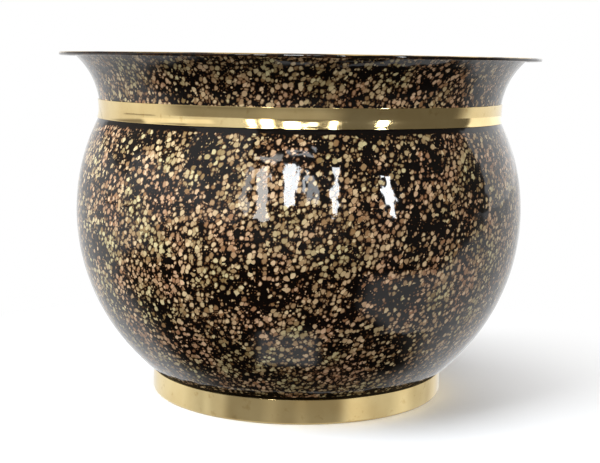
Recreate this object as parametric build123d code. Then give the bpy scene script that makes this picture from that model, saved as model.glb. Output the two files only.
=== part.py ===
from build123d import *
from math import asin, cos, degrees, radians, sin
import os

# A spun brass cachepot: a round bowl on a foot ring, a flared collar with a turned-out brim,
# and a band strapped round the hollow neck, over the seam where bowl and collar meet.
# Millimetres, +Z up, with the origin at the centre of the plane that the foot stands on.

# Heights of the outside, each counted up from the one before it
foot_height = 10.8  # ground to the edge where the foot ring meets the bowl
belly_rise = 70.2  # foot edge to the widest part of the bowl
neck_rise = 44.0  # widest part to the seam at the narrowest part of the neck
collar_rise = 24.1  # seam to the top of the brim

# Radii of the outside, and how far the form draws in or springs out from them
belly_radius = 98.3
foot_radius = 64.9
neck_inset = 10.3  # belly in to the neck
flare_reach = 10.7  # neck out to the bend under the brim
brim_width = 6.3  # bend out to the edge of the rim

# Curves and edges
neck_curve = 11.0  # hollow curve from the shoulder up to the neck
brim_bend = 1.2  # underside of the bend from flare to brim
rim_bead_radius = 0.75  # burnished bead along the edge of the brim

# Sheet that each piece is spun or rolled from
bowl_sheet = 0.9
collar_sheet = 0.9
foot_sheet = 1.0
band_sheet = 0.4

# Base and foot
base_lift = 3.0  # underside of the bowl above the ground
foot_flange = 6.0  # width of the foot's turned-in flange
foot_corner = 1.6  # outside of the bend between the foot's wall and flange

# Neck band, a strip with its ends scarfed together
band_drop = 3.6  # how far it reaches below the seam
band_height = 7.9
scarf_bearing = 197.0  # degrees round from +X
scarf_slope = 64.0  # degrees that the scarf leans from upright
scarf_gap = 0.15

# Brazing
solder_film = 0.1  # gap that the solder fills between two fitted faces
neck_bead_reach = 1.7  # how far the bead in the neck spreads to each side of the seam
neck_bead_height = 0.6
foot_bead_leg = 2.2  # each leg of the fillet inside the foot ring

# Places that follow from the sizes above
belly_height = foot_height + belly_rise
neck_height = belly_height + neck_rise
rim_height = neck_height + collar_rise
neck_radius = belly_radius - neck_inset
bend_radius = neck_radius + flare_reach
rim_radius = bend_radius + brim_width
brim_underside = rim_height - collar_sheet
thicker_sheet = max(bowl_sheet, collar_sheet)

# The bowl's wall below the belly is one arc, upright at the belly and ending on the foot edge.
foot_inset = belly_radius - foot_radius
wall_curve = (belly_rise**2 + foot_inset**2) / (2 * foot_inset)
wall_turn = asin(belly_rise / wall_curve)

# Below the foot edge it runs on in a knuckle that ends level with the flat base.
knuckle_curve = (foot_height - base_lift) / (1 - sin(wall_turn))
base_radius = foot_radius - knuckle_curve * cos(wall_turn)

# The shoulder is one arc, upright at the belly, that touches the hollow curve of the neck.
neck_reach = neck_radius + neck_curve - belly_radius
shoulder_curve = (neck_reach**2 + neck_rise**2 - neck_curve**2) / (2 * neck_inset)
shoulder_share = shoulder_curve / (shoulder_curve + neck_curve)
shoulder_radius = belly_radius - shoulder_curve + shoulder_share * (shoulder_curve + neck_reach)
shoulder_height = belly_height + shoulder_share * neck_rise

# The flare is one arc, upright at the seam and ending at the bend under the brim.
flare_height = brim_underside - neck_height
flare_curve = (flare_height**2 + flare_reach**2) / (2 * flare_reach)


def arcs_through(points, direction):
    """Joins points of a section with arcs, each leaving in the direction in which the last arrived."""
    arcs = []
    for start, end in zip(points, points[1:]):
        arc = TangentArc(start, end, tangent=direction)
        arcs.append(arc)
        direction = arc % 1
    return arcs


def neck_arcs(distance, below, above):
    """Two arcs, upwards through the seam, that follow the outside of the neck at a distance from it."""
    low_curve = neck_curve - distance
    high_curve = flare_curve - distance
    low_turn = degrees(asin(below / low_curve))
    high_turn = degrees(asin(above / high_curve))
    low_arc = CenterArc((neck_radius + neck_curve, neck_height), low_curve, 180 + low_turn, -low_turn)
    high_arc = CenterArc((neck_radius + flare_curve, neck_height), high_curve, 180, -high_turn)
    return low_arc, high_arc


def bent_line(line, corner, bend):
    """Rounds one corner of a line of a section."""
    wire = Wire(line.edges())
    nearest = wire.vertices().sort_by_distance(corner)[0]
    return wire.fillet_2d(bend, [nearest])


def sheet_section(face_line, thickness, side):
    """Section of an even sheet that lies to one side of the line of its face."""
    return make_face(offset(face_line, amount=thickness, side=side).edges())


def spun(section):
    """Turns a section, drawn with radius across and height up, round the pot's axis."""
    return revolve(Plane.XZ * section, Axis.Z)


# Bowl
base_line = Line((0, base_lift), (base_radius, base_lift))
bowl_points = [
    (base_radius, base_lift),
    (foot_radius, foot_height),
    (belly_radius, belly_height),
    (shoulder_radius, shoulder_height),
    (neck_radius, neck_height),
]
bowl_outside = Wire([base_line] + arcs_through(bowl_points, (1, 0)))
bowl = spun(sheet_section(bowl_outside, bowl_sheet, Side.LEFT))

# Collar, with the bead that closes the edge of its brim
flare_end = (bend_radius, brim_underside)
bead_centre = (rim_radius - rim_bead_radius, rim_height - rim_bead_radius)
flare_arc = TangentArc((neck_radius, neck_height), flare_end, tangent=(0, 1))
brim_line = Line(flare_end, (bead_centre[0], brim_underside))
collar_outside = bent_line(flare_arc + brim_line, flare_end, brim_bend)
rim_bead = Pos(*bead_centre) * Circle(rim_bead_radius)
collar = spun(sheet_section(collar_outside, collar_sheet, Side.LEFT) + rim_bead)

# Neck band, cut through at the scarf
band_inside = Wire(neck_arcs(solder_film, band_drop, band_height - band_drop))
band_middle = neck_height - band_drop + band_height / 2
scarf_run = band_height / cos(radians(scarf_slope))
scarf_place = Rot(Z=scarf_bearing) * Pos(neck_radius, 0, band_middle) * Rot(X=scarf_slope)
scarf_cut = scarf_place * Box(band_height, scarf_gap, 2 * scarf_run)
neck_band = spun(sheet_section(band_inside, band_sheet, Side.RIGHT)) - scarf_cut

# Foot ring, with its upper edge fitted to the underside of the bowl
bowl_closing = Polyline((neck_radius, neck_height), (0, neck_height), (0, base_lift))
bowl_room = offset(make_face(bowl_outside.edges() + bowl_closing.edges()), amount=solder_film)
foot_edge = (foot_radius, 0)
foot_line = Polyline((foot_radius - foot_flange, 0), foot_edge, (foot_radius, foot_height))
foot_outside = bent_line(foot_line, foot_edge, foot_corner)
foot_ring = spun(sheet_section(foot_outside, foot_sheet, Side.LEFT) - bowl_room)

# Brazing bead inside the neck, over the seam
bead_back = neck_arcs(-thicker_sheet - solder_film, neck_bead_reach, neck_bead_reach)
bead_crest = bead_back[0] @ 1 - Vector(neck_bead_height, 0)
bead_front = ThreePointArc(bead_back[0] @ 0, bead_crest, bead_back[1] @ 1)
neck_solder = spun(make_face([*bead_back, bead_front]))

# Brazing fillet in the corner between the foot's wall and the knuckle of the bowl
fillet_wall = foot_radius - foot_sheet - solder_film
fillet_curve = knuckle_curve + solder_film
corner_turn = degrees(asin((fillet_wall - base_radius) / fillet_curve))
fillet_turn = degrees(foot_bead_leg / fillet_curve)
knuckle_centre = (base_radius, base_lift + knuckle_curve)
fillet_top = CenterArc(knuckle_centre, fillet_curve, corner_turn - 90, -fillet_turn)
fillet_foot = fillet_top @ 0 - Vector(0, foot_bead_leg)
fillet_face = Polyline(fillet_top @ 1, fillet_foot, fillet_top @ 0)
foot_solder = spun(make_face(fillet_top.edges() + fillet_face.edges()))

pieces = {
    "bowl": bowl,
    "collar": collar,
    "neck_band": neck_band,
    "foot_ring": foot_ring,
    "neck_solder": neck_solder,
    "foot_solder": foot_solder,
}
os.makedirs("parts", exist_ok=True)
for node, piece in pieces.items():
    export_step(piece, f"parts/{node}.step")

print(f"rim {2 * rim_radius:.1f} mm across, {rim_height:.1f} mm high")
neck_clear = 2 * (neck_radius - thicker_sheet - solder_film - neck_bead_height)
print(f"neck {neck_clear:.1f} mm clear inside")
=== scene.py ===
from math import asin, atan2, cos, degrees, hypot, log, pi, radians, sin, sqrt, tan

import bpy
from mathutils import Matrix, Vector, noise


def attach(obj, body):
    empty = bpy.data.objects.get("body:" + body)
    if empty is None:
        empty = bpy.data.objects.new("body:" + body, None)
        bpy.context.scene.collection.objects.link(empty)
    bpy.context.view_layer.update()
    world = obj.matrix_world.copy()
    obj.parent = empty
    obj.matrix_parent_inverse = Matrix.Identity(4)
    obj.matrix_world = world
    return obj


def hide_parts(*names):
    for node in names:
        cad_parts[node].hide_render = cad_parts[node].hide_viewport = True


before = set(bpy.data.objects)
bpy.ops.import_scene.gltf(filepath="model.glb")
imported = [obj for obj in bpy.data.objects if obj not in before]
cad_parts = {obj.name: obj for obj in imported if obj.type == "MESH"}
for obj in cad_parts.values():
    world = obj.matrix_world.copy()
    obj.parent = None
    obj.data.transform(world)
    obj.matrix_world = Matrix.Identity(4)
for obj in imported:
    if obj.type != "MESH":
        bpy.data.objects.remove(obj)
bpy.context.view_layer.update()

MM = 0.001

# Sizes of the pot in millimetres, the same as those of its solids
foot_height = 10.8
belly_rise = 70.2
neck_rise = 44.0
collar_rise = 24.1
belly_radius = 98.3
foot_radius = 64.9
neck_inset = 10.3
flare_reach = 10.7
brim_width = 6.3
neck_curve = 11.0
brim_bend = 1.2
rim_bead_radius = 0.75
bowl_sheet = 0.9
collar_sheet = 0.9
foot_sheet = 1.0
band_sheet = 0.4
base_lift = 3.0
foot_flange = 6.0
foot_corner = 1.6
band_drop = 3.6
band_height = 7.9
scarf_bearing = 197.0
scarf_slope = 64.0
scarf_gap = 0.15
solder_film = 0.1
neck_bead_reach = 1.7
neck_bead_height = 0.6
foot_bead_leg = 2.2

# Places that follow from them, with angles in degrees
belly_height = foot_height + belly_rise
neck_height = belly_height + neck_rise
rim_height = neck_height + collar_rise
neck_radius = belly_radius - neck_inset
rim_radius = neck_radius + flare_reach + brim_width
brim_underside = rim_height - collar_sheet
foot_inset = belly_radius - foot_radius
wall_curve = (belly_rise**2 + foot_inset**2) / (2 * foot_inset)
wall_turn = degrees(asin(belly_rise / wall_curve))
knuckle_curve = (foot_height - base_lift) / (1 - sin(radians(wall_turn)))
base_radius = foot_radius - knuckle_curve * cos(radians(wall_turn))
neck_reach = neck_radius + neck_curve - belly_radius
shoulder_curve = (neck_reach**2 + neck_rise**2 - neck_curve**2) / (2 * neck_inset)
shoulder_turn = degrees(asin(neck_rise / (shoulder_curve + neck_curve)))
flare_height = brim_underside - neck_height
flare_curve = (flare_height**2 + flare_reach**2) / (2 * flare_reach)
knuckle_centre = (base_radius, base_lift + knuckle_curve)
wall_centre = (belly_radius - wall_curve, belly_height)
shoulder_centre = (belly_radius - shoulder_curve, belly_height)
neck_centre = (neck_radius + neck_curve, neck_height)
flare_centre = (neck_radius + flare_curve, neck_height)
bend_height = brim_underside - brim_bend
bend_reach = sqrt((flare_curve - brim_bend) ** 2 - (bend_height - neck_height) ** 2)
bend_centre = (flare_centre[0] - bend_reach, bend_height)
bend_turn = degrees(atan2(bend_height - neck_height, -bend_reach))
bead_centre = (rim_radius - rim_bead_radius, rim_height - rim_bead_radius)
band_bottom = neck_height - band_drop
band_top = band_bottom + band_height

# Camera, at the photograph's viewing angle
camera_place = (0.0, -0.5361, 0.1457)
camera_pitch = 0.1394
camera_roll = 0.0147
camera_yaw = -0.0014
lens = bpy.data.cameras.new("camera")
lens.sensor_width = 36.0
lens.lens = 72.0
lens.clip_start = 0.01
camera = bpy.data.objects.new("camera", lens)
bpy.context.scene.collection.objects.link(camera)
camera.matrix_world = (
    Matrix.Translation(camera_place)
    @ Matrix.Rotation(camera_yaw, 4, "Z")
    @ Matrix.Rotation(pi / 2 - camera_pitch, 4, "X")
    @ Matrix.Rotation(camera_roll, 4, "Z")
)
bpy.context.scene.camera = camera


# Shader nodes
class Nodes:
    """Short calls that add nodes to a material or to the world and link them."""

    def __init__(self, owner):
        self.owner = owner
        self.owner.use_nodes = True
        self.tree = self.owner.node_tree
        self.tree.nodes.clear()

    def add(self, kind, inputs, **settings):
        node = self.tree.nodes.new("ShaderNode" + kind)
        for key, value in settings.items():
            setattr(node, key, value)
        for key, value in inputs.items():
            if isinstance(value, bpy.types.NodeSocket):
                self.tree.links.new(value, node.inputs[key])
            else:
                node.inputs[key].default_value = value
        return node

    def maths(self, operation, *values, clamp=False):
        node = self.add("Math", dict(enumerate(values)), operation=operation, use_clamp=clamp)
        return node.outputs[0]

    def vector(self, operation, first, second=(0, 0, 0), scale=1.0):
        inputs = {0: first, 1: second, 3: scale}
        return self.add("VectorMath", inputs, operation=operation).outputs[0]

    def spread(self, value, low, high, to_low=0.0, to_high=1.0):
        """Moves a value from one range to another and keeps it inside."""
        inputs = {"Value": value, "From Min": low, "From Max": high, "To Min": to_low, "To Max": to_high}
        return self.add("MapRange", inputs, clamp=True).outputs[0]

    def blend(self, share, first, second):
        """Mixes two colours."""
        node = self.add("Mix", {0: share, 6: first, 7: second}, data_type="RGBA")
        return node.outputs[2]

    def cloud(self, place, size, detail=2.0):
        """Noise whose blots are about a size in millimetres across."""
        return self.add("TexNoise", {"Vector": place, "Scale": 1 / (size * MM), "Detail": detail})

    def seen(self):
        """1 for rays that come from the camera, from gloss or through something clear, and 0 for others."""
        path = self.add("LightPath", {}).outputs
        direct = self.maths("MAXIMUM", path["Is Camera Ray"], path["Is Glossy Ray"])
        return self.maths("MAXIMUM", direct, path["Is Transmission Ray"])

    def show(self, shader):
        """Makes a shader the one that the material shows."""
        self.add("OutputMaterial", {"Surface": shader.outputs[0]})
        return self.owner

    def finish(self, **inputs):
        """Ends a material with one principled shader."""
        return self.show(self.add("BsdfPrincipled", inputs))


def colour(red, green, blue):
    """A colour written as on a screen, from 0 to 255, for a shader."""
    linear = []
    for part in (red, green, blue):
        part /= 255
        linear.append(part / 12.92 if part <= 0.04045 else ((part + 0.055) / 1.055) ** 2.4)
    return (*linear, 1.0)


# Layers of the speckle, in millimetres: the cell and the radii of its flecks, the share of the cells that
# hold one, and the softness of its edge
large_flecks = {"cell": 2.0, "least": 0.72, "most": 1.28, "share": 0.98, "soft": 0.26}
small_flecks = {"cell": 1.4, "least": 0.26, "most": 0.52, "share": 0.66, "soft": 0.18}
dust_flecks = {"cell": 0.9, "least": 0.12, "most": 0.32, "share": 0.45, "soft": 0.12}
small_shift = (0.31, 0.17, 0.05)  # metres, so that the layers do not lie on each other
dust_shift = (0.11, 0.47, 0.23)
dust_strength = 0.8
fleck_bias = 1.5  # above 1, small flecks outnumber large ones
fleck_lean = -0.2  # sideways drift for each millimetre of height, at the belly
fleck_narrow = 1.06
fleck_tall = 0.95
fleck_bend = 1.3
bend_size = 2.2
crowd_size = 10.0  # patches where the flecks are thick or thin
crowd_least = 0.5
crowd_most = 1.3
spray_size = 26.0  # broad drifts of the spray, over the patches
spray_least = 0.55
spray_most = 1.46
patch_size = 14.0  # patches of greener or redder gold
black_size = 30.0  # patches of browner black

# Rings of bare black lacquer, of which the one over the foot is painted shade in the corner between bowl and
# foot, and wear of the lacquer, in millimetres
# painted shade: the ring over the foot is left without flecks so that the corner between bowl and foot reads
# dark
foot_shade_ring = 1.3
band_bare = 2.2
bare_edge = 0.4
bare_ragged = 1.6
ragged_size = 3.0
rim_thin = 1.5
rim_cover = 0.12  # share of the flecks that is left on the rim
wear_depth = 0.3
wear_edge = 0.15
wear_ragged = 1.6
wear_size = 24.0
wear_rough = 0.15

# Unevenness of the coat: the size of each kind in millimetres and its share of the relief
smear_size = 14.0
peel_size = 2.4
peel_share = 0.4
sag_size = 6.5
sag_share = 9.0
fleck_share = 0.12
coat_relief = 0.02


def flecks(nodes, place, crowd, cell, least, most, share, soft):
    """Soft round flecks, at most one to a cell and of random size. Sizes in millimetres."""
    found = nodes.add("TexVoronoi", {"Vector": place, "Scale": 1 / (cell * MM)})
    chance = nodes.add("SeparateColor", {"Color": found.outputs["Color"]}).outputs
    size = nodes.spread(nodes.maths("POWER", chance[0], fleck_bias), 0, 1, least / cell, most / cell)
    kept = nodes.maths("LESS_THAN", chance[2], nodes.maths("MULTIPLY", crowd, share))
    size = nodes.maths("SUBTRACT", size, nodes.maths("SUBTRACT", 1.0, kept))
    depth = nodes.maths("SUBTRACT", size, found.outputs["Distance"])
    cover = nodes.spread(depth, -soft / cell, soft / cell)
    return cover, chance[1]


def speckled_lacquer():
    """Glossy black lacquer spattered with gold-tan flecks, worn to brass along the top of the rim."""
    nodes = Nodes(bpy.data.materials.new("speckled_lacquer"))
    place = nodes.add("TexCoord", {}).outputs["Object"]
    height = nodes.add("SeparateXYZ", {0: place}).outputs[2]

    # Flecks, a little taller than wide and leaning with the spray, bent out of round, thicker in some places
    twist = nodes.maths("MULTIPLY", height, fleck_lean / (belly_radius * MM))
    turned = nodes.add("VectorRotate", {"Vector": place, "Angle": twist}, rotation_type="Z_AXIS").outputs[0]
    drawn = nodes.vector("MULTIPLY", turned, (fleck_narrow, fleck_narrow, fleck_tall))
    bend = nodes.vector("SUBTRACT", nodes.cloud(place, bend_size, 1.0).outputs["Color"], (0.5, 0.5, 0.5))
    bent = nodes.vector("ADD", drawn, nodes.vector("SCALE", bend, scale=fleck_bend * MM))
    patches = nodes.spread(nodes.cloud(place, crowd_size).outputs[0], 0.34, 0.66, crowd_least, crowd_most)
    spray = nodes.spread(nodes.cloud(place, spray_size).outputs[0], 0.36, 0.64, spray_least, spray_most)
    crowd = nodes.maths("MULTIPLY", patches, spray)
    large, large_hue = flecks(nodes, bent, crowd, **large_flecks)
    small, small_hue = flecks(nodes, nodes.vector("ADD", bent, small_shift), crowd, **small_flecks)
    dust = flecks(nodes, nodes.vector("ADD", drawn, dust_shift), crowd, **dust_flecks)[0]
    both = nodes.maths("MAXIMUM", large, small)
    cover = nodes.maths("MAXIMUM", both, nodes.maths("MULTIPLY", dust, dust_strength))

    # A bare black ring under the band, and a black ring without flecks over the foot as painted shade in the
    # corner between bowl and foot, both with uneven edges, and a thin spatter on the rim
    ragged = nodes.maths("SUBTRACT", nodes.cloud(place, ragged_size).outputs[0], 0.5)
    level = nodes.maths("ADD", height, nodes.maths("MULTIPLY", ragged, bare_ragged * MM))
    foot_shade_top = foot_height + foot_shade_ring
    above_foot_shade = nodes.spread(level, foot_shade_top * MM, (foot_shade_top + bare_edge) * MM)
    band_bare_low = band_bottom - band_bare
    under_band = nodes.spread(level, band_bare_low * MM, (band_bare_low + bare_edge) * MM, 1.0, 0.0)
    past_band = nodes.maths("GREATER_THAN", height, neck_height * MM)
    open_to = nodes.maths("MULTIPLY", above_foot_shade, nodes.maths("MAXIMUM", under_band, past_band))
    thin_low = rim_height - rim_thin
    off_rim = nodes.spread(height, thin_low * MM, (thin_low + bare_edge) * MM, 1.0, rim_cover)
    cover = nodes.maths("MULTIPLY", cover, nodes.maths("MULTIPLY", open_to, off_rim))

    # Colours
    from_large = nodes.maths("MULTIPLY", large, large_hue)
    from_small = nodes.maths("MULTIPLY", nodes.maths("SUBTRACT", 1.0, large), small_hue)
    hue = nodes.maths("ADD", from_large, from_small)
    patch = nodes.spread(nodes.cloud(place, patch_size, 1.0).outputs[0], 0.35, 0.65)
    deep = nodes.blend(patch, colour(135, 109, 66), colour(152, 107, 73))
    pale = nodes.blend(patch, colour(214, 201, 152), colour(227, 191, 153))
    gold = nodes.blend(hue, deep, pale)
    black = nodes.blend(nodes.cloud(place, black_size).outputs[0], colour(5, 2, 1), colour(14, 7, 4))
    heart = nodes.spread(cover, 0.25, 0.95)
    painted = nodes.blend(cover, black, nodes.blend(heart, colour(112, 66, 30), gold))

    # Wear along the top of the rim
    fray = nodes.maths("SUBTRACT", nodes.cloud(place, wear_size, 4.0).outputs[0], 0.5)
    rim_level = nodes.maths("ADD", height, nodes.maths("MULTIPLY", fray, wear_ragged * MM))
    wear_low = rim_height - wear_depth
    worn = nodes.spread(rim_level, wear_low * MM, (wear_low + wear_edge) * MM)
    shown = nodes.blend(worn, painted, colour(214, 186, 128))

    # Gloss and the faint unevenness of the coat
    smear = nodes.spread(nodes.cloud(place, smear_size, 3.0).outputs[0], 0.35, 0.7, 0.02, 0.06)
    rough = nodes.maths("ADD", smear, nodes.maths("MULTIPLY", worn, wear_rough))
    peel = nodes.maths("MULTIPLY", nodes.cloud(place, peel_size, 1.0).outputs[0], peel_share)
    sag = nodes.maths("MULTIPLY", nodes.cloud(place, sag_size, 1.0).outputs[0], sag_share)
    raised = nodes.maths("MULTIPLY", cover, fleck_share)
    relief = nodes.maths("ADD", nodes.maths("ADD", peel, sag), raised)
    bump = nodes.add("Bump", {"Height": relief, "Strength": 1.0, "Distance": coat_relief * MM})
    return nodes.finish(**{
        "Base Color": shown, "Metallic": worn, "Roughness": rough, "IOR": 1.42, "Normal": bump.outputs[0]})


# Marks on brass, in millimetres
tarnish_size = 22.0
spot_size = 3.5
dent_size = 9.0
drift_size = 40.0
ring_drift = 1.5


def turned_rings(nodes, place, pitch):
    """Fine rings round the pot's axis, as a spinning tool or a polishing wheel leaves them."""
    x, y, z = nodes.add("SeparateXYZ", {0: place}).outputs
    across = nodes.add("CombineXYZ", {0: x, 1: y}).outputs[0]
    radius = nodes.add("VectorMath", {0: across}, operation="LENGTH").outputs["Value"]
    drift = nodes.maths("MULTIPLY", nodes.cloud(place, drift_size, 1.0).outputs[0], ring_drift * MM)
    section = nodes.add("CombineXYZ", {0: radius, 1: z, 2: drift}).outputs[0]
    return nodes.cloud(section, pitch, 3.0).outputs[0]


def brass(name, pale, deep, smooth, dull, ring_pitch, ring_depth):
    """Brass with tarnish in patches and fine turned rings, smooth where it is clean and dull in stains."""
    nodes = Nodes(bpy.data.materials.new(name))
    place = nodes.add("TexCoord", {}).outputs["Object"]
    patch = nodes.spread(nodes.cloud(place, tarnish_size, 4.0).outputs[0], 0.35, 0.68)
    spots = nodes.spread(nodes.cloud(place, spot_size, 3.0).outputs[0], 0.62, 0.78, 0.0, 0.5)
    rings = turned_rings(nodes, place, ring_pitch)
    stain = nodes.maths("ADD", nodes.maths("MULTIPLY", patch, 0.55), spots, clamp=True)
    shown = nodes.blend(stain, pale, deep)
    grain = nodes.spread(rings, 0.3, 0.7)
    marks = nodes.maths("ADD", nodes.maths("MULTIPLY", grain, 0.5), stain)
    rough = nodes.spread(marks, 0, 1.5, smooth, dull)
    dents = nodes.maths("MULTIPLY", nodes.cloud(place, dent_size, 1.0).outputs[0], 1.5)
    relief = nodes.maths("ADD", rings, dents)
    bump = nodes.add("Bump", {"Height": relief, "Strength": 1.0, "Distance": ring_depth * MM})
    return nodes.finish(**{
        "Base Color": shown, "Metallic": 1.0, "Roughness": rough, "Normal": bump.outputs[0]})


lacquer = speckled_lacquer()
polished = brass(
    "polished_brass", colour(240, 218, 162), colour(204, 172, 110),
    smooth=0.05, dull=0.14, ring_pitch=0.5, ring_depth=0.003)
satin = brass(
    "satin_brass", colour(196, 164, 104), colour(132, 98, 52),
    smooth=0.24, dull=0.46, ring_pitch=0.8, ring_depth=0.02)
braze = brass(
    "braze", colour(178, 154, 106), colour(120, 96, 58),
    smooth=0.4, dull=0.62, ring_pitch=1.6, ring_depth=0.06)


# Sections and lathe
def arc(centre, radius, start, end, steps):
    """Points of a section along an arc, with angles in degrees from outwards towards upwards."""
    points = []
    for step in range(steps + 1):
        angle = radians(start + (end - start) * step / steps)
        points.append((centre[0] + radius * cos(angle), centre[1] + radius * sin(angle)))
    return points


def line(start, end, steps=1):
    """Points of a section along a straight line."""
    shares = [step / steps for step in range(steps + 1)]
    return [tuple(a + (b - a) * share for a, b in zip(start, end)) for share in shares]


touching = 1e-6  # points of a section that lie nearer than this, in millimetres, are one
edge_share = 0.45  # most of an edge that one rounded corner may take


def joined(*runs):
    """One run of points from several that follow on from each other."""
    points = list(runs[0])
    for run in runs[1:]:
        apart = hypot(run[0][0] - points[-1][0], run[0][1] - points[-1][1])
        points += run[1:] if apart < touching else run
    return points


def softened(points, reach, steps=3):
    """Rounds the corners of a run of points, apart from its two ends."""
    shown = [points[0]]
    for before, corner, after in zip(points, points[1:], points[2:]):
        ends = []
        for other in (before, after):
            length = hypot(other[0] - corner[0], other[1] - corner[1])
            share = min(reach / length, edge_share)
            ends.append(tuple(c + (o - c) * share for c, o in zip(corner, other)))
        for step in range(steps + 1):
            t = step / steps
            shown.append(tuple(
                (1 - t) ** 2 * a + 2 * t * (1 - t) * c + t**2 * b
                for a, c, b in zip(ends[0], corner, ends[1])))
    return shown + [points[-1]]


segments = 360  # faces round the axis
map_margin = 0.006  # border of each cell of a texture map
crease = 32  # degrees between two faces from which their edge is sharp
sway_waves = 9.0
sway_rise = 0.7


def lathe(name, runs, materials, cells, cut=None, sway=0.0):
    """Turns a section round the axis. A run is its points, its material and its share of the texture.

    cells gives the columns and rows of the texture map, with one sector of the piece in each. cut gives
    the angles of the two ends, for a height, where the piece is an open strip. sway makes a run whose share
    is negative uneven by that many millimetres.
    """
    section, skins, shares, loose = [], [], [], []
    for points, skin, share in runs:
        for step, (start, end) in enumerate(zip(points, points[1:])):
            section.append(start)
            loose.append(sin(pi * step / (len(points) - 1)) if share < 0 else 0.0)
            skins.append(skin)
            shares.append(abs(share) * hypot(end[0] - start[0], end[1] - start[1]))
    last = runs[-1][0][-1]
    closed = hypot(last[0] - section[0][0], last[1] - section[0][1]) < touching
    if not closed:
        section.append(last)
        loose.append(0.0)
    along = [0.0]
    for share in shares:
        along.append(along[-1] + share)
    along = [value / along[-1] for value in along]
    columns = segments + 1 if cut else segments
    vertices, rows = [], []
    for index, (radius, height) in enumerate(section):
        if radius < touching:
            rows.append([len(vertices)] * (segments + 1))
            vertices.append((0.0, 0.0, height * MM))
            continue
        row = []
        start, end = cut(height, radius) if cut else (0.0, 2 * pi)
        for column in range(columns):
            angle = start + (end - start) * column / segments
            ripple = (sway_waves * cos(angle), sway_waves * sin(angle), sway_rise * height)
            shift = loose[index] * sway * noise.noise(ripple)
            reach = radius + shift
            row.append(len(vertices))
            vertices.append((reach * cos(angle) * MM, reach * sin(angle) * MM, (height + shift) * MM))
        rows.append(row if cut else row + row[:1])
    faces, face_skins, places = [], [], []
    per_cell = segments // (cells[0] * cells[1])
    inside = 1 - 2 * map_margin
    for index, skin in enumerate(skins):
        lower, upper = rows[index], rows[(index + 1) % len(rows)]
        for column in range(segments):
            corners = [
                (lower[column], column, index), (lower[column + 1], column + 1, index),
                (upper[column + 1], column + 1, index + 1), (upper[column], column, index + 1),
            ]
            if corners[0][0] == corners[1][0]:
                corners = [(corners[0][0], column + 0.5, index)] + corners[2:]
            elif corners[2][0] == corners[3][0]:
                corners = corners[:2] + [(corners[2][0], column + 0.5, index + 1)]
            faces.append([corner[0] for corner in corners])
            face_skins.append(skin)
            cell = column // per_cell
            left, low = cell % cells[0] / cells[0], cell // cells[0] / cells[1]
            for _, place, step in corners:
                u = map_margin + inside * (place - cell * per_cell) / per_cell
                v = map_margin + inside * along[step]
                places += [left + u / cells[0], low + v / cells[1]]
    if cut:
        # The two end faces are too small to see a texture on and share the map's first corner.
        for column in (0, segments):
            end = [row[column] for row in rows]
            faces.append(end if column else end[::-1])
            face_skins.append(0)
            places += [0.001 * (corner % 2 + column % 7) for corner in range(2 * len(end))]
    mesh = bpy.data.meshes.new(name)
    mesh.from_pydata(vertices, [], faces)
    mesh.polygons.foreach_set("material_index", face_skins)
    mesh.uv_layers.new(name="OFBake").data.foreach_set("uv", places)
    mesh.polygons.foreach_set("use_smooth", [True] * len(faces))
    mesh.set_sharp_from_angle(angle=radians(crease))
    for material in materials:
        mesh.materials.append(material)
    piece = bpy.data.objects.new(name, mesh)
    bpy.context.scene.collection.objects.link(piece)
    return piece


# Bowl: lacquered outside above the foot, bare below it and inside
def bowl_wall(depth):
    """The bowl's wall at a depth under its outside, from the foot edge up to the seam."""
    return joined(
        arc(wall_centre, wall_curve - depth, -wall_turn, 0, 48),
        arc(shoulder_centre, shoulder_curve - depth, 0, shoulder_turn, 26),
        arc(neck_centre, neck_curve + depth, 180 + shoulder_turn, 180, 12),
    )


def bowl_base(depth):
    """The bowl's base at a depth under its outside, from the axis out to the foot edge."""
    return joined(
        line((0, base_lift + depth), (base_radius, base_lift + depth), 10),
        arc(knuckle_centre, knuckle_curve - depth, -90, -wall_turn, 14),
    )


bowl_outside = bowl_wall(0)
bowl_inside = joined(bowl_base(bowl_sheet), bowl_wall(bowl_sheet))[::-1]
bowl = lathe(
    "bowl_spun",
    [
        (bowl_base(0), 1, 0.3),
        (bowl_outside, 0, 1.0),
        ([bowl_outside[-1], bowl_inside[0]], 1, 0.3),
        (bowl_inside, 1, 0.25),
    ],
    [lacquer, satin],
    (2, 2),
)
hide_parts("bowl")


# Collar: lacquered outside and round the bead of the rim, bare on top and inside
def collar_line(depth):
    """The collar's flare and bend at a depth behind its outside, from the seam to the brim."""
    return joined(
        arc(flare_centre, flare_curve + depth, 180, bend_turn, 34),
        arc(bend_centre, brim_bend + depth, bend_turn, 90, 8),
    )


bead_start = 180 + degrees(asin((bead_centre[1] - brim_underside) / rim_bead_radius))
collar_outside = collar_line(0)
collar_inside = collar_line(collar_sheet)[::-1]
rim_bead = arc(bead_centre, rim_bead_radius, bead_start, 450, 22)
collar = lathe(
    "collar_spun",
    [
        (joined(collar_outside, line(collar_outside[-1], rim_bead[0], 4)), 0, 1.0),
        (rim_bead, 0, 1.0),
        (joined(line(rim_bead[-1], collar_inside[0], 4), collar_inside), 1, 0.4),
        ([collar_inside[-1], collar_outside[0]], 1, 0.4),
    ],
    [lacquer, satin],
    (3, 4),
)
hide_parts("collar")


# Neck band, an open strip whose slanted ends meet at the scarf
def neck_line(distance, below, above, steps):
    """A line up through the seam that follows the outside of the neck at a distance from it."""
    low_turn = degrees(asin(below / (neck_curve - distance)))
    high_turn = degrees(asin(above / (flare_curve - distance)))
    return joined(
        arc(neck_centre, neck_curve - distance, 180 + low_turn, 180, steps),
        arc(flare_centre, flare_curve - distance, 180, 180 - high_turn, steps),
    )


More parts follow.
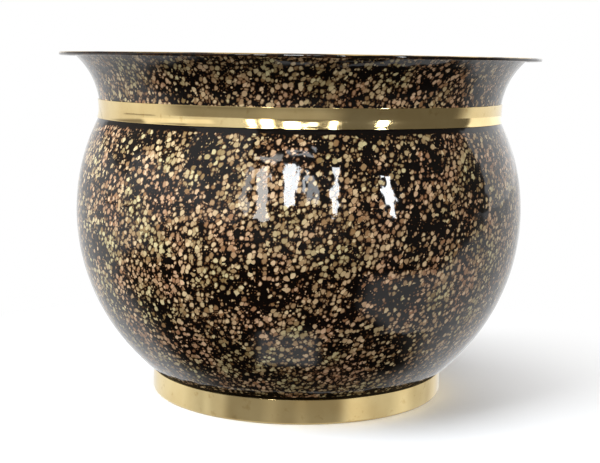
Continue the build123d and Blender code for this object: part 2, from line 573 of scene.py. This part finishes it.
def scarf_ends(height, radius):
    """Angles between which the band runs at a height."""
    lean = tan(radians(scarf_slope)) * (height - (band_bottom + band_top) / 2)
    gap = scarf_gap / cos(radians(scarf_slope)) / radius
    start = radians(scarf_bearing) - lean / neck_radius + gap / 2
    return start, start + 2 * pi - gap


band_back = neck_line(solder_film, band_drop, band_height - band_drop, 5)
band_front = neck_line(solder_film + band_sheet, band_drop, band_height - band_drop, 9)[::-1]
band_ease = 0.14
band_top_corners = [band_back[-2], band_back[-1], band_front[0], band_front[1]]
band_low_corners = [band_front[-2], band_front[-1], band_back[0], band_back[1]]
band_top_edge = softened(band_top_corners, band_ease)[1:-1]
band_low_edge = softened(band_low_corners, band_ease)[1:-1]
band = lathe(
    "neck_band_strip",
    [
        ([band_low_edge[-1], *band_back[1:-1], band_top_edge[0]], 0, 0.4),
        (band_top_edge, 0, 1.0),
        ([band_top_edge[-1], *band_front[1:-1], band_low_edge[0]], 0, 1.0),
        (band_low_edge, 0, 1.0),
    ],
    [polished],
    (3, 6),
    cut=scarf_ends,
)
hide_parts("neck_band")


# Foot ring, its upper edge fitted to the underside of the bowl
def underside(radius):
    """Height of the underside of the bowl, less the film of solder, at a radius."""
    reach = knuckle_curve + solder_film
    return knuckle_centre[1] - sqrt(reach**2 - (radius - base_radius) ** 2)


foot_inner = foot_radius - foot_sheet
foot_top = (foot_radius, underside(foot_radius))
foot_top_inner = (foot_inner, underside(foot_inner))
corner_centre = (foot_radius - foot_corner, foot_corner)
flange_edge = foot_radius - foot_flange
flange_middle = (flange_edge, foot_sheet / 2)
flange_low_ease = [(0.15, 0.06), (0.4, 0.0)]
flange_high_ease = [(0.3, 0.0), (0.1, -0.1)]
flange_low = [(flange_edge + across, up) for across, up in flange_low_ease]
flange_high = [(flange_edge + across, foot_sheet + up) for across, up in flange_high_ease]
foot_top_ease = 0.12
foot_top_start = (foot_radius, foot_top[1] - 0.25)
foot_runs = joined(
    [flange_middle, *flange_low],
    line(flange_low[-1], (foot_radius - foot_corner, 0), 4),
    arc(corner_centre, foot_corner, 270, 360, 10),
    line((foot_radius, foot_corner), foot_top_start, 10),
    softened([foot_top_start, foot_top, foot_top_inner], foot_top_ease),
)
foot_back = joined(
    line(foot_top_inner, (foot_inner, foot_corner), 6),
    arc(corner_centre, foot_corner - foot_sheet, 360, 270, 5),
    line((foot_radius - foot_corner, foot_sheet), flange_high[0], 4),
    [*flange_high[1:], flange_middle],
)
foot = lathe("foot_ring_spun", [(foot_runs, 0, 1.0), (foot_back, 0, 0.6)], [polished], (3, 4))
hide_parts("foot_ring")

# Brazing bead inside the neck, over the seam
half_bead_steps = 4
bead_steps = 12
bead_depth = max(bowl_sheet, collar_sheet) + solder_film
bead_back = neck_line(-bead_depth, neck_bead_reach, neck_bead_reach, half_bead_steps)
bead_crest = bead_back[half_bead_steps][0] - neck_bead_height
bead_front = []
for step, (reach, height) in enumerate(line(bead_back[-1], bead_back[0], bead_steps)):
    share = step / bead_steps
    crown = 4 * share * (1 - share)
    bead_front.append((reach + (bead_crest - reach) * crown, height))
neck_solder = lathe(
    "neck_solder_bead", [(bead_back, 0, 0.3), (bead_front, 0, -1.0)], [braze], (3, 6), sway=0.3)
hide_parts("neck_solder")

# Brazing fillet inside the foot ring, under the bowl
fillet_wall = foot_inner - solder_film
fillet_curve = knuckle_curve + solder_film
corner_turn = degrees(asin((fillet_wall - base_radius) / fillet_curve))
fillet_turn = degrees(foot_bead_leg / fillet_curve)
fillet_top = arc(knuckle_centre, fillet_curve, corner_turn - 90, corner_turn - 90 - fillet_turn, 5)
fillet_foot = (fillet_wall, fillet_top[0][1] - foot_bead_leg)
fillet_face = line(fillet_top[-1], fillet_foot, 10)
foot_solder = lathe(
    "foot_solder_fillet",
    [(fillet_top, 0, 0.3), (fillet_face, 0, -1.0), (line(fillet_foot, fillet_top[0], 3), 0, 0.3)],
    [braze], (3, 6), sway=0.35)
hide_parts("foot_solder")

for piece in (bowl, collar, band, foot, neck_solder, foot_solder):
    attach(piece, "root")


# Stage: a pale floor
floor_reach = 8.0
floor_open = (foot_radius - foot_flange / 2) * MM
floor_turns = 72
floor_white = (0.95, 0.95, 0.95, 1.0)
floor_bounce = (0.2, 0.2, 0.2, 1.0)  # what it throws back at the pot, as the cards stand for the rest
shadow_near = 0.07
shadow_far = 0.22


def staged(name, vertices, faces, material):
    """A mesh that belongs to the stage and not to the pot."""
    mesh = bpy.data.meshes.new(name)
    mesh.from_pydata(vertices, [], faces)
    mesh.materials.append(material)
    thing = bpy.data.objects.new(name, mesh)
    bpy.context.scene.collection.objects.link(thing)
    return thing


def pale_floor():
    """Matt white near the pot, where it keeps the shadow, that fades into the white surround.

    From below it is clear, so that the foot can be looked at.
    """
    nodes = Nodes(bpy.data.materials.new("floor_pale"))
    place = nodes.add("TexCoord", {}).outputs["Object"]
    away = nodes.add("VectorMath", {0: place}, operation="LENGTH").outputs["Value"]
    seen = nodes.seen()
    reach = {"Value": away, "From Min": shadow_near, "From Max": shadow_far}
    fade = nodes.add("MapRange", reach, interpolation_type="SMOOTHSTEP")
    share = nodes.maths("MULTIPLY", seen, fade.outputs[0])
    shade = nodes.blend(seen, floor_bounce, floor_white)
    matt = nodes.add("BsdfDiffuse", {"Color": shade})
    white = nodes.add("Emission", {"Strength": 1.0})
    mixed = nodes.add("MixShader", {0: share, 1: matt.outputs[0], 2: white.outputs[0]})
    below = nodes.add("NewGeometry", {}).outputs["Backfacing"]
    clear = nodes.add("BsdfTransparent", {})
    return nodes.show(nodes.add("MixShader", {0: below, 1: mixed.outputs[0], 2: clear.outputs[0]}))


def towards(bearing, rise, distance):
    """A place seen from the pot at a bearing, in degrees right of the camera, and at a rise."""
    level = distance * cos(radians(rise))
    height = distance * sin(radians(rise))
    return Vector((level * sin(radians(bearing)), -level * cos(radians(bearing)), height))


# The floor is open inside the foot ring, so that light from below reaches the base.
floor_points = []
for reach in (floor_open, floor_reach):
    floor_points += [towards(360 * turn / floor_turns, 0, reach) for turn in range(floor_turns)]
floor_faces = []
for turn in range(floor_turns):
    following = (turn + 1) % floor_turns
    floor_faces.append((floor_turns + turn, floor_turns + following, following, turn))
staged("floor", floor_points, floor_faces, pale_floor())


# Cards, seen only in the gloss, that stand for what a room would show there
warm_tint = (1.0, 0.92, 0.8, 1.0)
white_tint = (1.0, 1.0, 1.0, 1.0)
white_level = 0.7  # from this level on a card's light is white


def card_material(name, again):
    """Gives the light that the card's own level asks for, a little warm where it is dim, to one side.

    again is the share of it that is left where the card is seen in a second reflection.
    """
    nodes = Nodes(bpy.data.materials.new(name))
    level = nodes.add("Attribute", {}, attribute_name="level").outputs["Fac"]
    bounces = nodes.add("LightPath", {}).outputs["Glossy Depth"]
    level = nodes.maths("MULTIPLY", level, nodes.spread(bounces, 1.0, 2.0, 1.0, again))
    tint = nodes.blend(nodes.spread(level, 0.0, white_level), warm_tint, white_tint)
    light = nodes.add("Emission", {"Color": tint, "Strength": level})
    behind = nodes.add("NewGeometry", {}).outputs["Backfacing"]
    open_share = nodes.add("Attribute", {}, attribute_name="clear").outputs["Fac"]
    passed = nodes.maths("MAXIMUM", behind, open_share)
    clear = nodes.add("BsdfTransparent", {})
    return nodes.show(nodes.add("MixShader", {0: passed, 1: light.outputs[0], 2: clear.outputs[0]}))


def ramp(value, start, end):
    """0 up to the start and 1 from the end, with a smooth way between."""
    share = min(max((value - start) / (end - start), 0.0), 1.0)
    return share * share * (3 - 2 * share)


def card(name, columns, rows, place, level, clear=lambda column, row: 0.0, again=1.0):
    """A sheet, seen only in the gloss, with its own light and its own clearness at each of its points."""
    points = [place(column, row) for row in rows for column in columns]
    wide = len(columns)
    faces = []
    for row in range(len(rows) - 1):
        for column in range(wide - 1):
            corner = row * wide + column
            faces.append((corner, corner + 1, corner + wide + 1, corner + wide))
    sheet = staged(name, points, faces, card_material(name, again))
    for key, value in (("level", level), ("clear", clear)):
        values = [value(column, row) for row in rows for column in columns]
        sheet.data.attributes.new(key, "FLOAT", "POINT").data.foreach_set("value", values)
    sheet.visible_camera = False
    sheet.visible_diffuse = False
    sheet.visible_transmission = False
    sheet.visible_shadow = False


# Wall card: white, with panels that are pale to the left of the camera, dim before it and dark to its right.
# A panel runs between two bearings and two rises, in degrees, and has a level of light.
panels = [
    (-160, -66, 12, 60, 0.35),
    (-66, -29, -9, 50, 0.85),
    (-96, -48, 8, 22, 1.3),
    (-29, 21, -9, 24, 0.24),
    (-29, 21, 24, 50, 0.2),
    (21, 107, -9, 50, 0.15),
    (107, 170, -9, 50, 1.4),
    (-112, -85, -9, 2, 0.2),
]
panel_edge = 1.5  # softness of a panel's edge, in degrees
back_bearing = 115  # past this bearing the edges grow softer
back_softness = 0.35
wall_distance = 4.0
wall_rises = [2 * step for step in range(-1, 30)]
around = [2 * step for step in range(90, -91, -1)]


def round_pot(bearing, distance, height):
    """A place at a bearing, a distance from the pot's axis and a height, in metres."""
    return (distance * sin(radians(bearing)), -distance * cos(radians(bearing)), height)


def wall_place(bearing, rise):
    return round_pot(bearing, wall_distance, wall_distance * tan(radians(rise)))


def wall_level(bearing, rise):
    """White, less what the panels take away."""
    level = 1.0
    for left, right, low, high, shade in panels:
        share = 1.0
        for value, start, end in ((bearing, left, right), (rise, low, high)):
            for limit, side in ((start, 1), (end, -1)):
                edge = panel_edge + back_softness * max(abs(limit) - back_bearing, 0)
                share *= ramp(side * (value - limit), -edge, edge)
        level += (shade - level) * share
    return level


card("wall_card", around, wall_rises, wall_place, wall_level)


# Floor card, from under the foot ring out to the wall, with rings that widen outwards
foot_edge = (foot_radius + 0.15) * MM
foot_seam = 0.15 * MM
floor_lift = 0.2 * MM
floor_widening = 1.06
floor_rings = 72
floor_radii = [foot_edge - 5 * MM, foot_edge, foot_edge + foot_seam]
floor_radii += [(foot_radius + 1) * MM * floor_widening**step for step in range(floor_rings)]


def floor_place(bearing, distance):
    return round_pot(bearing, distance, floor_lift)


def floor_level(bearing, distance):
    """White to the left, dim before the pot and to its right, and dark in the pot's own shade."""
    # Dim ground before the pot, less so further out, with white on the right only near the pot
    dim = 0.05 + 0.1 * ramp(distance, 0.24, 0.32)
    front = ramp(bearing, -26, -16) * (1 - ramp(bearing, 8, 18))
    left = dim + 0.16 * ramp(distance, 0.3, 0.8) + 0.1 * front * ramp(distance, 0.3, 0.4)
    close = 1 - ramp(distance, 0.069, 0.082)
    side = ramp(bearing, 34, 70)
    side += (0.85 * ramp(bearing, 18, 62) - side) * close
    right = dim + (1 - dim) * side * (1 - ramp(distance, 0.113, 0.118))
    level = left + (right - left) * ramp(bearing, 16, 26)

    # Shade of the pot, up to a left end that draws round with the distance
    near = 1 - ramp(distance, 0.085, 0.12)
    drawn_round = min(log(max(distance / 0.07, 1.0)), 1.0)
    left_end = -32 - 42 * drawn_round + 14 * ramp(distance, 0.3, 0.36) + 20 * close
    dimmed = ramp(bearing, left_end - 24 - 26 * close, left_end)
    shade = near * dimmed * (1 - ramp(bearing, 40 - 24 * close, 55 - 31 * close))
    level += (0.03 + 0.03 * close - level) * shade

    # Gleam before the pot, the seam at the foot, and the white behind the pot and to its left
    gleam = ramp(bearing, -17, -12) * (1 - ramp(bearing, 5, 10))
    level += 1.1 * gleam * ramp(distance, 0.084, 0.088) * (1 - ramp(distance, 0.108, 0.12))
    level += (0.6 - level) * (1 - ramp(distance, foot_edge, foot_edge + foot_seam))
    level += (1.0 - level) * ramp(bearing, 90, 110)
    return level + (1.0 - level) * (1 - dimmed) * (1 - shade)


card("floor_card", around, floor_radii, floor_place, floor_level)

# Side card, white and close to the pot on its right, clear above a rising top edge
side_distance = 0.112
side_bearings = [2 * step for step in range(60, 6, -1)]
side_heights = [0.3] + [2 * step for step in range(1, 43)]


def side_place(bearing, height):
    return round_pot(bearing, side_distance, height * MM)


def side_level(bearing, height):
    return 1.0


def side_clear(bearing, height):
    """0 inside the card's own outline and 1 outside it."""
    start = 19 + 14 * (1 - ramp(height, 5, 40))
    top = 58 + 20 * ramp(bearing, 38, 56)
    shown = ramp(bearing, start - 3, start + 3) * (1 - ramp(bearing, 100, 120))
    return 1 - shown * (1 - ramp(height, top - 4, top + 4))


card("side_card", side_bearings, side_heights, side_place, side_level, side_clear)

# Foot card, close round the foot ring and dim before it, with glints: bearing, half width and added level
foot_glints = [(-35, 3, 0.12), (-9, 5, 0.1), (2, 4, 0.08), (22, 9, 0.28), (44, 8, 0.24)]
foot_card_radius = foot_radius + 0.25
foot_bearings = [step / 2 for step in range(360, -361, -1)]
foot_heights = [0.2, foot_height - 0.4]
foot_again = 0.1  # what the lacquer's reflection of the foot keeps of it


def foot_place(bearing, height):
    return round_pot(bearing, foot_card_radius * MM, height * MM)


def foot_level(bearing, height):
    """Dim before the pot, brighter to both sides and even behind it."""
    left = 0.28 * (1 - ramp(bearing, -29, -24)) + 0.35 * (1 - ramp(bearing, -50, -36))
    right = 0.38 * ramp(bearing, 15, 21) + 0.2 * ramp(bearing, 60, 70)
    level = 0.32 + left + right
    for middle, reach, more in foot_glints:
        level += more * ramp(abs(bearing - middle), reach, 0)
    return level + (0.6 - level) * ramp(abs(bearing), 90, 140)


card("foot_card", foot_bearings, foot_heights, foot_place, foot_level, again=foot_again)


# Light: narrow strips for the highlights, large soft boxes for the colours, and an even surround
def soft_box(name, place, aim, width, height, radiance, tint):
    """A rectangular lamp of a given brightness at a place, facing a point."""
    lamp = bpy.data.lights.new(name, "AREA")
    lamp.shape = "RECTANGLE"
    lamp.size = width
    lamp.size_y = height
    lamp.energy = radiance * pi * width * height
    lamp.color = tint
    thing = bpy.data.objects.new(name, lamp)
    bpy.context.scene.collection.objects.link(thing)
    thing.location = place
    thing.rotation_euler = (aim - place).to_track_quat("-Z", "Y").to_euler()
    thing.visible_camera = False
    return thing


aim = Vector((0, 0, 0.1))
strip_distance = 2.6
box_distance = 2.4
warm_strip = (1.0, 0.95, 0.88)
cool_strip = (0.95, 0.98, 1.0)
warm_until = -10  # strips to the left of this bearing are warm

# Strips, seen only in the gloss: bearing, width, low and high rise, all in degrees, and brightness
strips = [
    (-26.0, 4.0, 2.0, 28.0, 8.0),
    (-17.5, 5.5, 1.0, 29.0, 17.0),
    (-4.2, 7.0, 9.0, 30.0, 32.0),
    (3.0, 1.6, 16.0, 28.0, 14.0),
    (7.0, 4.0, 10.0, 24.0, 8.0),
    (18.0, 2.6, 4.0, 29.0, 28.0),
    (45.0, 4.5, 2.0, 23.0, 36.0),
    (-18.0, 13.0, 32.0, 34.0, 9.0),
    (0.5, 11.0, 36.0, 38.0, 8.0),
]
for number, (bearing, wide, low, high, radiance) in enumerate(strips):
    place = aim + towards(bearing, (low + high) / 2, strip_distance)
    width = 2 * strip_distance * tan(radians(wide / 2))
    tall = 2 * strip_distance * tan(radians((high - low) / 2))
    tint = warm_strip if bearing < warm_until else cool_strip
    strip = soft_box(f"strip_{number}", place, aim, width, tall, radiance, tint)
    strip.visible_diffuse = False

# Boxes, not seen in the gloss: bearing and rise in degrees, width in metres, brightness and tint
boxes = [
    ("key", -64, 40, 2.0, 7.4, (0.95, 1.0, 1.06)),
    ("fill", 20, 28, 1.6, 3.0, (1.0, 1.0, 1.0)),
    ("overhead", -110, 80, 1.6, 2.4, (1.0, 1.0, 1.0)),
    ("back", 165, 35, 1.6, 3.0, (1.0, 1.0, 1.0)),
]
for name, bearing, rise, width, radiance, tint in boxes:
    box = soft_box(name, aim + towards(bearing, rise, box_distance), aim, width, width, radiance, tint)
    box.visible_glossy = False

# Surround: white where it is seen, and dimmer as a light
surround_light = 0.25
surround_white = 1.0
world = bpy.data.worlds.new("surround")
bpy.context.scene.world = world
surround = Nodes(world)
level = surround.spread(surround.seen(), 0.0, 1.0, surround_light, surround_white)
background = surround.add("Background", {"Color": white_tint, "Strength": level})
surround.add("OutputWorld", {"Surface": background.outputs[0]})

bpy.context.scene.view_settings.view_transform = "Standard"
